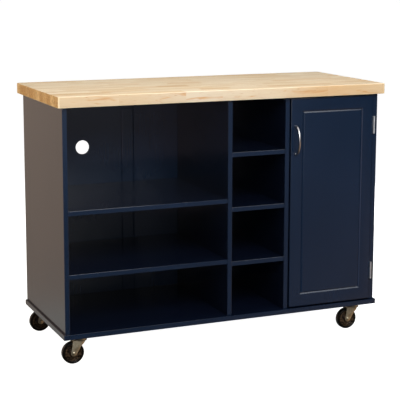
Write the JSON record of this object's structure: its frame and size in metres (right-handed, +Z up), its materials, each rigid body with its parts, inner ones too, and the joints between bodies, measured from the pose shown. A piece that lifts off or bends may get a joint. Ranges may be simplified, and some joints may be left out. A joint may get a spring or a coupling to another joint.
{
  "type": "kitchen island cart",
  "caption": "Painted kitchen island cart with open shelves, cubbies and a cupboard under a wooden block worktop, on swivel casters.",
  "frame": {"origin": "on the floor, under the middle of the bounding box", "axes": "+X along the cart's length, to the right as seen from the front; +Y from the front to the back; +Z up"},
  "size_m": [1.2, 0.5232, 0.895],
  "materials": {
    "butcher_block": "oiled, laminated and finger-jointed light hardwood",
    "navy_paint": "satin navy paint on board",
    "satin_nickel": "satin nickel plate",
    "hinge_steel": "bright zinc",
    "zinc_plate": "warm zinc-plated pressed steel",
    "catch_plastic": "moulded",
    "wheel_hub": "moulded, dark brown",
    "tyre_rubber": "moulded rubber"
  },
  "bodies": {
    "cabinet": {"back_sheet_centre": "navy_paint", "back_sheet_left": "navy_paint", "back_sheet_right": "navy_paint", "back_stile_left": "navy_paint", "back_stile_right": "navy_paint", "back_top_rail": "navy_paint", "base_panel": "navy_paint", "caster_front_left_plate": "zinc_plate", "caster_front_right_plate": "zinc_plate", "caster_rear_left_plate": "zinc_plate", "caster_rear_right_plate": "zinc_plate", "cubby_shelf_lower": "navy_paint", "cubby_shelf_middle": "navy_paint", "cubby_shelf_upper": "navy_paint", "cupboard_shelf": "navy_paint", "hinge_lower_cabinet_leaf": "hinge_steel", "hinge_lower_pin": "hinge_steel", "hinge_upper_cabinet_leaf": "hinge_steel", "hinge_upper_pin": "hinge_steel", "left_bay_shelf_lower": "navy_paint", "left_bay_shelf_upper": "navy_paint", "magnetic_catch": "catch_plastic", "partition_left": "navy_paint", "partition_right": "navy_paint", "shelf_pin_front_left": "hinge_steel", "shelf_pin_front_right": "hinge_steel", "shelf_pin_rear_left": "hinge_steel", "shelf_pin_rear_right": "hinge_steel", "side_panel_left": "navy_paint", "side_panel_right": "navy_paint", "worktop": "butcher_block"},
    "door": {"catch_strike_plate": "hinge_steel", "door_panel": "navy_paint", "door_pull": "satin_nickel", "door_rail_bottom": "navy_paint", "door_rail_top": "navy_paint", "door_stile_left": "navy_paint", "door_stile_right": "navy_paint", "hinge_lower_door_leaf": "hinge_steel", "hinge_upper_door_leaf": "hinge_steel", "pull_screw_lower": "hinge_steel", "pull_screw_upper": "hinge_steel"},
    "caster_front_left_fork": {"caster_front_left_fork": "zinc_plate", "caster_front_left_axle": "zinc_plate"},
    "caster_front_left_wheel": {"caster_front_left_wheel_hub": "wheel_hub", "caster_front_left_tyre": "tyre_rubber"},
    "caster_front_right_fork": {"caster_front_right_fork": "zinc_plate", "caster_front_right_axle": "zinc_plate"},
    "caster_front_right_wheel": {"caster_front_right_wheel_hub": "wheel_hub", "caster_front_right_tyre": "tyre_rubber"},
    "caster_rear_left_fork": {"caster_rear_left_fork": "zinc_plate", "caster_rear_left_axle": "zinc_plate"},
    "caster_rear_left_wheel": {"caster_rear_left_wheel_hub": "wheel_hub", "caster_rear_left_tyre": "tyre_rubber"},
    "caster_rear_right_fork": {"caster_rear_right_fork": "zinc_plate", "caster_rear_right_axle": "zinc_plate"},
    "caster_rear_right_wheel": {"caster_rear_right_wheel_hub": "wheel_hub", "caster_rear_right_tyre": "tyre_rubber"}
  },
  "joints": [
    {"name": "door_hinge", "type": "hinge", "parent": "cabinet", "child": "door", "pos_m": [0.5628, -0.2309, 0.4834], "axis": [0, 0, 1], "range_deg": [0, 170]},
    {"name": "caster_front_left_swivel", "type": "hinge", "parent": "cabinet", "child": "caster_front_left_fork", "pos_m": [-0.518, -0.1879, 0.0803], "axis": [0, 0, 1], "continuous": true},
    {"name": "caster_front_left_roll", "type": "hinge", "parent": "caster_front_left_fork", "child": "caster_front_left_wheel", "pos_m": [-0.5465, -0.1879, 0.0375], "axis": [0, 1, 0], "continuous": true},
    {"name": "caster_front_right_swivel", "type": "hinge", "parent": "cabinet", "child": "caster_front_right_fork", "pos_m": [0.518, -0.1879, 0.0803], "axis": [0, 0, 1], "continuous": true},
    {"name": "caster_front_right_roll", "type": "hinge", "parent": "caster_front_right_fork", "child": "caster_front_right_wheel", "pos_m": [0.4895, -0.1879, 0.0375], "axis": [0, 1, 0], "continuous": true},
    {"name": "caster_rear_left_swivel", "type": "hinge", "parent": "cabinet", "child": "caster_rear_left_fork", "pos_m": [-0.518, 0.2091, 0.0803], "axis": [0, 0, 1], "continuous": true},
    {"name": "caster_rear_left_roll", "type": "hinge", "parent": "caster_rear_left_fork", "child": "caster_rear_left_wheel", "pos_m": [-0.5465, 0.2091, 0.0375], "axis": [0, 1, 0], "continuous": true},
    {"name": "caster_rear_right_swivel", "type": "hinge", "parent": "cabinet", "child": "caster_rear_right_fork", "pos_m": [0.518, 0.2091, 0.0803], "axis": [0, 0, 1], "continuous": true},
    {"name": "caster_rear_right_roll", "type": "hinge", "parent": "caster_rear_right_fork", "child": "caster_rear_right_wheel", "pos_m": [0.4895, 0.2091, 0.0375], "axis": [0, 1, 0], "continuous": true}
  ]
}
